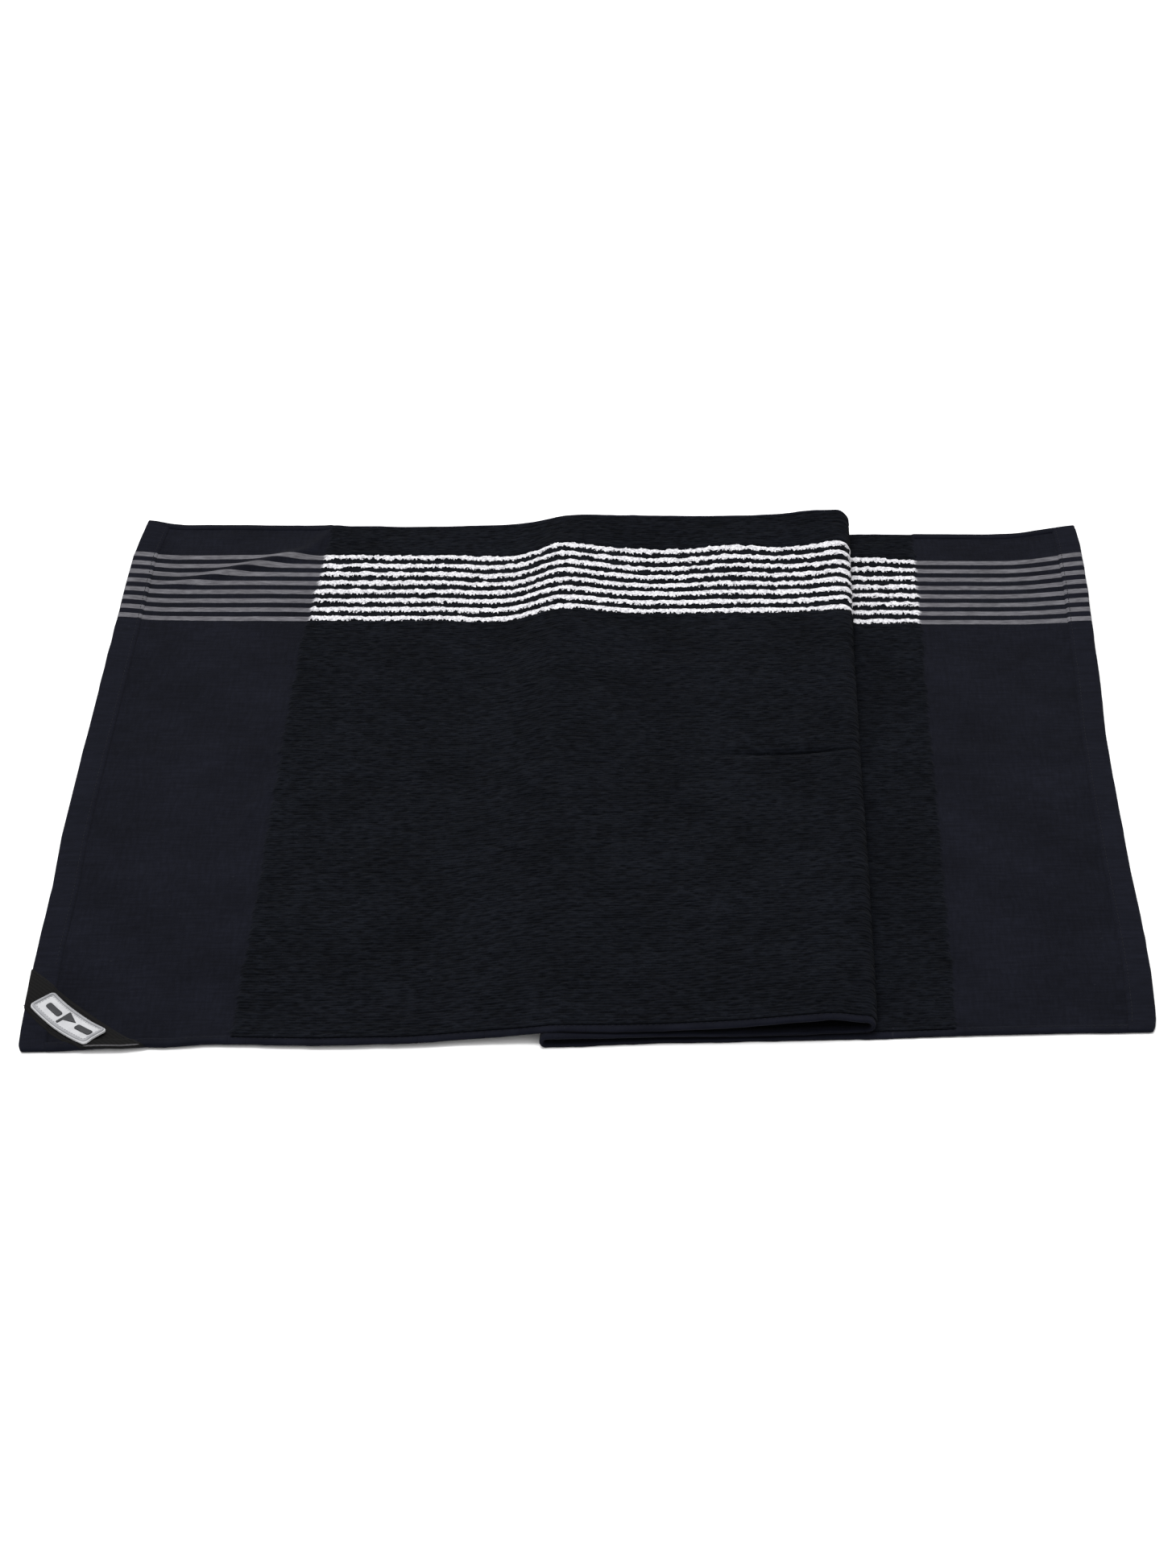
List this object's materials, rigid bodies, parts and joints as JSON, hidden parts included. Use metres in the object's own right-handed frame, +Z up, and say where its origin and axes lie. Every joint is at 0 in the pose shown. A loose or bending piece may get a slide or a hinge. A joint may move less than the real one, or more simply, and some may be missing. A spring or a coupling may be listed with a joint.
{
  "type": "golf towel",
  "caption": "Long golf towel lying in a loose Z fold, with a terry middle, flat woven ends, a striped back edge, rolled hems and a corner badge. It unfolds flat.",
  "frame": {"origin": "on the table, under the centre of the folded towel's bounding box", "axes": "+X along the towel's length, left end at -X; +Y towards the striped back long edge; +Z up"},
  "size_m": [0.616, 0.56, 0.0166],
  "materials": {
    "terry_cotton": "looped pile, matte",
    "flat_cotton": "flat woven, matte",
    "hem_cotton": "turned and sewn, matte",
    "terry_stripes": "raised looped pile, matte",
    "flat_stripes": "flat woven, matte",
    "patch_cloth": "plain woven, matte",
    "badge_rubber": "moulded, satin",
    "emblem_rubber": "moulded, satin",
    "dark_thread": "polyester sewing thread",
    "grey_thread": "polyester sewing thread"
  },
  "bodies": {
    "bottom_run": {"bottom_run_front_hem": "hem_cotton", "bottom_run_terry_field": "terry_cotton", "bottom_run_stripe_band": "terry_stripes", "bottom_run_back_border": "terry_cotton", "bottom_run_back_hem": "hem_cotton", "left_fold_front_hem": "hem_cotton", "left_fold_terry_bend": "terry_cotton", "left_fold_stripe_band": "terry_stripes", "left_fold_back_border": "terry_cotton", "left_fold_back_hem": "hem_cotton"},
    "middle_run": {"middle_run_front_hem": "hem_cotton", "middle_run_terry_field": "terry_cotton", "middle_run_stripe_band": "terry_stripes", "middle_run_back_border": "terry_cotton", "middle_run_back_hem": "hem_cotton", "right_fold_front_hem": "hem_cotton", "right_fold_terry_bend": "terry_cotton", "right_fold_stripe_band": "terry_stripes", "right_fold_back_border": "terry_cotton", "right_fold_back_hem": "hem_cotton"},
    "top_run": {"top_run_front_hem": "hem_cotton", "top_run_terry_field": "terry_cotton", "top_run_stripe_band": "terry_stripes", "top_run_back_border": "terry_cotton", "top_run_back_hem": "hem_cotton"},
    "ramp": {"ramp_front_hem": "hem_cotton", "ramp_terry_field": "terry_cotton", "ramp_stripe_band": "terry_stripes", "ramp_back_border": "terry_cotton", "ramp_back_hem": "hem_cotton"},
    "left_run": {"left_run_front_hem": "hem_cotton", "left_run_terry_field": "terry_cotton", "left_run_stripe_band": "terry_stripes", "left_run_back_border": "terry_cotton", "left_run_back_hem": "hem_cotton"},
    "left_panel": {"left_panel_front_hem": "hem_cotton", "left_panel_flat_field": "flat_cotton", "left_panel_stripe_band": "flat_stripes", "left_panel_back_border": "flat_cotton", "left_panel_back_hem": "hem_cotton", "left_end_hem": "hem_cotton", "left_end_hem_thread": "dark_thread", "corner_patch": "patch_cloth", "corner_patch_thread": "dark_thread", "badge_base": "badge_rubber", "badge_rim": "badge_rubber", "badge_thread": "grey_thread", "badge_flag": "emblem_rubber", "badge_left_bar": "emblem_rubber", "badge_right_bar": "emblem_rubber"},
    "right_panel": {"right_panel_front_hem": "hem_cotton", "right_panel_flat_field": "flat_cotton", "right_panel_stripe_band": "flat_stripes", "right_panel_back_border": "flat_cotton", "right_panel_back_hem": "hem_cotton", "right_end_hem": "hem_cotton", "right_end_hem_thread": "dark_thread"}
  },
  "joints": [
    {"name": "left_fold_open", "type": "hinge", "parent": "bottom_run", "child": "middle_run", "pos_m": [-0.0164, 0, 0.0036], "axis": [0, -1, 0], "range_deg": [0, 179.9], "deforming": ["left_fold_front_hem", "left_fold_terry_bend", "left_fold_stripe_band", "left_fold_back_border", "left_fold_back_hem"]},
    {"name": "right_fold_open", "type": "hinge", "parent": "middle_run", "child": "top_run", "pos_m": [0.1507, 0, 0.0103], "axis": [0, 1, 0], "range_deg": [0, 181.82], "deforming": ["right_fold_front_hem", "right_fold_terry_bend", "right_fold_stripe_band", "right_fold_back_border", "right_fold_back_hem"]},
    {"name": "ramp_top_level", "type": "hinge", "parent": "top_run", "child": "ramp", "pos_m": [-0.017, 0, 0.0094], "axis": [0, 1, 0], "range_deg": [0, 6.16]},
    {"name": "ramp_foot_level", "type": "hinge", "parent": "ramp", "child": "left_run", "pos_m": [-0.072, 0, 0.0016], "axis": [0, -1, 0], "range_deg": [0, 8.08]},
    {"name": "left_end_turnback", "type": "hinge", "parent": "left_run", "child": "left_panel", "pos_m": [-0.188, 0, 0.0039], "axis": [0, 1, 0], "range_deg": [0, 172]},
    {"name": "right_end_turnback", "type": "hinge", "parent": "bottom_run", "child": "right_panel", "pos_m": [0.1995, 0, 0.0039], "axis": [0, -1, 0], "range_deg": [0, 158]}
  ],
  "couplings": [
    {"joint": "right_fold_open", "follows": "left_fold_open", "ratio": 1.0106},
    {"joint": "ramp_top_level", "follows": "left_fold_open", "ratio": 0.034218},
    {"joint": "ramp_foot_level", "follows": "left_fold_open", "ratio": 0.044843}
  ]
}
